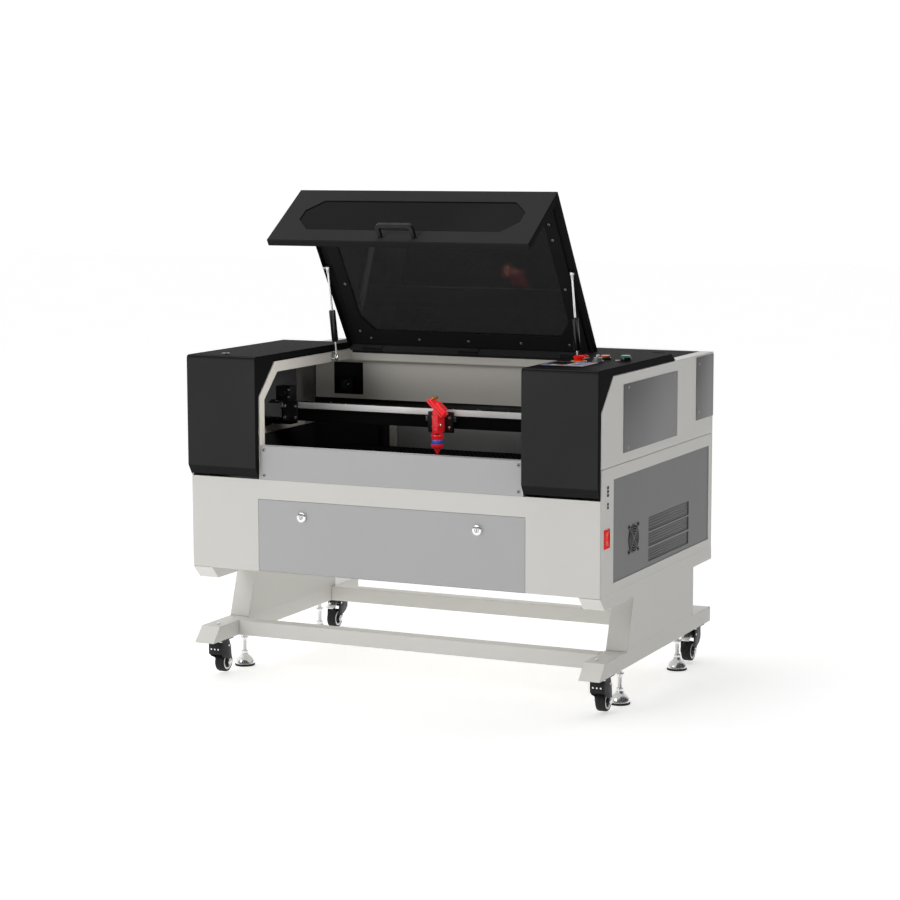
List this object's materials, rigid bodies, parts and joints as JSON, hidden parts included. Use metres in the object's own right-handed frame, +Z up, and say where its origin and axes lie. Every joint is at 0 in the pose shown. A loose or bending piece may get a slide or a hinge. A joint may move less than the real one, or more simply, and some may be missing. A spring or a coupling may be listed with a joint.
{
  "type": "floor-standing CO2 laser cutter",
  "caption": "Enclosed laser cutting and engraving machine on a wheeled stand, with a gas-strut lid, moving gantry, laser head and lifting bed.",
  "frame": {"origin": "on the floor, under the middle of the whole machine's box", "axes": "+Z up; the operator stands at -Y and faces +Y; +X is the machine's right side, with the controls"},
  "size_m": [1.164, 0.867, 1.3012],
  "materials": {
    "cream_paint": "fine satin powder coat",
    "grey_paint": "fine satin powder coat",
    "side_grey_paint": "fine satin powder coat",
    "black_paint": "textured black powder coat",
    "cover_paint": "satin dark grey powder coat",
    "gantry_metal": "black anodised beam with a bright linear rail",
    "smoked_acrylic": "polished smoked acrylic",
    "black_plastic": "matt black",
    "caster_steel": "black lacquered steel",
    "tyre_rubber": "smooth black rubber",
    "chrome": "bright plated",
    "red_anodised": "glossy red anodised",
    "red_plastic": "moulded",
    "orange_plastic": "moulded",
    "green_plastic": "moulded",
    "silver_panel": "membrane overlay",
    "tube_glass": "borosilicate glass"
  },
  "bodies": {
    "frame": {"control_panel": "silver_panel", "cross_beam_front": "cream_paint", "cross_beam_rear": "cream_paint", "foot_beam_left": "cream_paint", "foot_beam_right": "cream_paint", "front_strip": "grey_paint", "hood_left": "black_paint", "hood_right": "black_paint", "inner_frame_left": "cream_paint", "inner_frame_right": "cream_paint", "laser_tube": "tube_glass", "leg_left": "cream_paint", "leg_right": "cream_paint", "lower_cabinet": "cream_paint", "service_panel_left": "side_grey_paint", "service_panel_right": "side_grey_paint", "tube_bay_wall": "cream_paint", "upper_body": "cream_paint", "y_rail_left": "cream_paint", "y_rail_right": "cream_paint"},
    "lid": {"lid_shell": "black_paint", "lid_window_top": "smoked_acrylic", "lid_window_front": "smoked_acrylic", "lid_handle": "black_plastic"},
    "strut_tube_left": {"strut_tube_left": "black_plastic"},
    "strut_rod_left": {"strut_rod_left": "chrome"},
    "strut_tube_right": {"strut_tube_right": "black_plastic"},
    "strut_rod_right": {"strut_rod_right": "chrome"},
    "gantry": {"gantry_beam": "gantry_metal", "mirror_mount": "black_plastic"},
    "carriage": {"head_carriage": "black_plastic", "laser_head": "red_anodised"},
    "nozzle": {"nozzle": "red_anodised"},
    "bed": {"bed": "black_paint"},
    "front_door": {"front_door": "grey_paint"},
    "door_lock_left": {"door_lock_left": "chrome"},
    "door_lock_right": {"door_lock_right": "chrome"},
    "rear_cover": {"rear_top_cover": "cover_paint"},
    "e_stop": {"e_stop": "red_plastic"},
    "button_orange": {"button_orange": "orange_plastic"},
    "button_green": {"button_green": "green_plastic"},
    "key_switch": {"key_switch": "chrome"},
    "power_switch": {"power_switch": "red_plastic"},
    "fan_rotor": {"cooling_fan": "black_plastic"},
    "caster_front_left": {"caster_fork_front_left": "caster_steel"},
    "wheel_front_left": {"caster_wheel_front_left": "tyre_rubber"},
    "brake_front_left": {"caster_brake_front_left": "chrome"},
    "foot_front_left": {"leveling_foot_front_left": "chrome"},
    "caster_rear_left": {"caster_fork_rear_left": "caster_steel"},
    "wheel_rear_left": {"caster_wheel_rear_left": "tyre_rubber"},
    "brake_rear_left": {"caster_brake_rear_left": "chrome"},
    "foot_rear_left": {"leveling_foot_rear_left": "chrome"},
    "caster_front_right": {"caster_fork_front_right": "caster_steel"},
    "wheel_front_right": {"caster_wheel_front_right": "tyre_rubber"},
    "brake_front_right": {"caster_brake_front_right": "chrome"},
    "foot_front_right": {"leveling_foot_front_right": "chrome"},
    "caster_rear_right": {"caster_fork_rear_right": "caster_steel"},
    "wheel_rear_right": {"caster_wheel_rear_right": "tyre_rubber"},
    "brake_rear_right": {"caster_brake_rear_right": "chrome"},
    "foot_rear_right": {"leveling_foot_rear_right": "chrome"}
  },
  "joints": [
    {"name": "lid_hinge", "type": "hinge", "parent": "frame", "child": "lid", "pos_m": [0, 0.0875, 0.8565], "axis": [1, 0, 0], "range_deg": [0, 56.5]},
    {"name": "strut_pivot_left", "type": "hinge", "parent": "frame", "child": "strut_tube_left", "pos_m": [-0.3572, -0.0087, 0.8385], "axis": [1, 0, 0], "range_deg": [0, 72]},
    {"name": "strut_slide_left", "type": "slide", "parent": "strut_tube_left", "child": "strut_rod_left", "axis": [0, -0.1946, 0.9809], "range_m": [-0.0765, 0]},
    {"name": "strut_pivot_right", "type": "hinge", "parent": "frame", "child": "strut_tube_right", "pos_m": [0.3572, -0.0087, 0.8385], "axis": [1, 0, 0], "range_deg": [0, 72]},
    {"name": "strut_slide_right", "type": "slide", "parent": "strut_tube_right", "child": "strut_rod_right", "axis": [0, -0.1946, 0.9809], "range_m": [-0.0765, 0]},
    {"name": "gantry_travel", "type": "slide", "parent": "frame", "child": "gantry", "axis": [0, 1, 0], "range_m": [-0.19, 0.2]},
    {"name": "head_travel", "type": "slide", "parent": "gantry", "child": "carriage", "axis": [1, 0, 0], "range_m": [-0.36, 0.33]},
    {"name": "nozzle_focus", "type": "slide", "parent": "carriage", "child": "nozzle", "axis": [0, 0, 1], "range_m": [-0.012, 0]},
    {"name": "bed_lift", "type": "slide", "parent": "frame", "child": "bed", "axis": [0, 0, 1], "range_m": [-0.15, 0]},
    {"name": "door_hinge", "type": "hinge", "parent": "frame", "child": "front_door", "pos_m": [0, -0.4145, 0.3119], "axis": [1, 0, 0], "range_deg": [0, 90]},
    {"name": "lock_turn_left", "type": "hinge", "parent": "front_door", "child": "door_lock_left", "pos_m": [-0.2497, -0.4145, 0.4616], "axis": [0, 1, 0], "range_deg": [0, 90]},
    {"name": "lock_turn_right", "type": "hinge", "parent": "front_door", "child": "door_lock_right", "pos_m": [0.2497, -0.4145, 0.4616], "axis": [0, 1, 0], "range_deg": [0, 90]},
    {"name": "cover_hinge", "type": "hinge", "parent": "frame", "child": "rear_cover", "pos_m": [0, 0.1285, 0.855], "axis": [1, 0, 0], "range_deg": [0, 85]},
    {"name": "e_stop_press", "type": "slide", "parent": "frame", "child": "e_stop", "axis": [0, 0, 1], "range_m": [-0.004, 0], "stiffness_N_per_m": 900},
    {"name": "button_orange_press", "type": "slide", "parent": "frame", "child": "button_orange", "axis": [0, 0, 1], "range_m": [-0.003, 0], "stiffness_N_per_m": 300},
    {"name": "button_green_press", "type": "slide", "parent": "frame", "child": "button_green", "axis": [0, 0, 1], "range_m": [-0.003, 0], "stiffness_N_per_m": 300},
    {"name": "key_turn", "type": "hinge", "parent": "frame", "child": "key_switch", "pos_m": [0.49, -0.2095, 0.8757], "axis": [0, 0, 1], "range_deg": [0, 90]},
    {"name": "switch_rock", "type": "hinge", "parent": "frame", "child": "power_switch", "pos_m": [0.575, -0.3725, 0.4547], "axis": [0, 1, 0], "range_deg": [-8, 8]},
    {"name": "fan_spin", "type": "hinge", "parent": "frame", "child": "fan_rotor", "pos_m": [0.562, -0.1798, 0.4282], "axis": [1, 0, 0], "continuous": true},
    {"name": "caster_swivel_front_left", "type": "hinge", "parent": "frame", "child": "caster_front_left", "pos_m": [-0.551, -0.336, 0.0985], "axis": [0, 0, 1], "continuous": true},
    {"name": "wheel_spin_front_left", "type": "hinge", "parent": "caster_front_left", "child": "wheel_front_left", "pos_m": [-0.551, -0.313, 0.0335], "axis": [1, 0, 0], "continuous": true},
    {"name": "brake_press_front_left", "type": "hinge", "parent": "caster_front_left", "child": "brake_front_left", "pos_m": [-0.551, -0.318, 0.08], "axis": [-1, 0, 0], "range_deg": [0, 12]},
    {"name": "foot_screw_front_left", "type": "slide", "parent": "frame", "child": "foot_front_left", "axis": [0, 0, 1], "range_m": [0, 0.018]},
    {"name": "caster_swivel_rear_left", "type": "hinge", "parent": "frame", "child": "caster_rear_left", "pos_m": [-0.551, 0.3555, 0.0985], "axis": [0, 0, 1], "continuous": true},
    {"name": "wheel_spin_rear_left", "type": "hinge", "parent": "caster_rear_left", "child": "wheel_rear_left", "pos_m": [-0.551, 0.3325, 0.0335], "axis": [1, 0, 0], "continuous": true},
    {"name": "brake_press_rear_left", "type": "hinge", "parent": "caster_rear_left", "child": "brake_rear_left", "pos_m": [-0.551, 0.3375, 0.08], "axis": [1, 0, 0], "range_deg": [0, 12]},
    {"name": "foot_screw_rear_left", "type": "slide", "parent": "frame", "child": "foot_rear_left", "axis": [0, 0, 1], "range_m": [0, 0.018]},
    {"name": "caster_swivel_front_right", "type": "hinge", "parent": "frame", "child": "caster_front_right", "pos_m": [0.551, -0.336, 0.0985], "axis": [0, 0, 1], "continuous": true},
    {"name": "wheel_spin_front_right", "type": "hinge", "parent": "caster_front_right", "child": "wheel_front_right", "pos_m": [0.551, -0.313, 0.0335], "axis": [1, 0, 0], "continuous": true},
    {"name": "brake_press_front_right", "type": "hinge", "parent": "caster_front_right", "child": "brake_front_right", "pos_m": [0.551, -0.318, 0.08], "axis": [-1, 0, 0], "range_deg": [0, 12]},
    {"name": "foot_screw_front_right", "type": "slide", "parent": "frame", "child": "foot_front_right", "axis": [0, 0, 1], "range_m": [0, 0.018]},
    {"name": "caster_swivel_rear_right", "type": "hinge", "parent": "frame", "child": "caster_rear_right", "pos_m": [0.551, 0.3555, 0.0985], "axis": [0, 0, 1], "continuous": true},
    {"name": "wheel_spin_rear_right", "type": "hinge", "parent": "caster_rear_right", "child": "wheel_rear_right", "pos_m": [0.551, 0.3325, 0.0335], "axis": [1, 0, 0], "continuous": true},
    {"name": "brake_press_rear_right", "type": "hinge", "parent": "caster_rear_right", "child": "brake_rear_right", "pos_m": [0.551, 0.3375, 0.08], "axis": [1, 0, 0], "range_deg": [0, 12]},
    {"name": "foot_screw_rear_right", "type": "slide", "parent": "frame", "child": "foot_rear_right", "axis": [0, 0, 1], "range_m": [0, 0.018]}
  ],
  "couplings": [
    {"joint": "strut_pivot_left", "follows": "lid_hinge", "ratio": 1.2555},
    {"joint": "strut_slide_left", "follows": "lid_hinge", "m_per_rad": -0.076529},
    {"joint": "strut_pivot_right", "follows": "lid_hinge", "ratio": 1.2555},
    {"joint": "strut_slide_right", "follows": "lid_hinge", "m_per_rad": -0.076529}
  ]
}
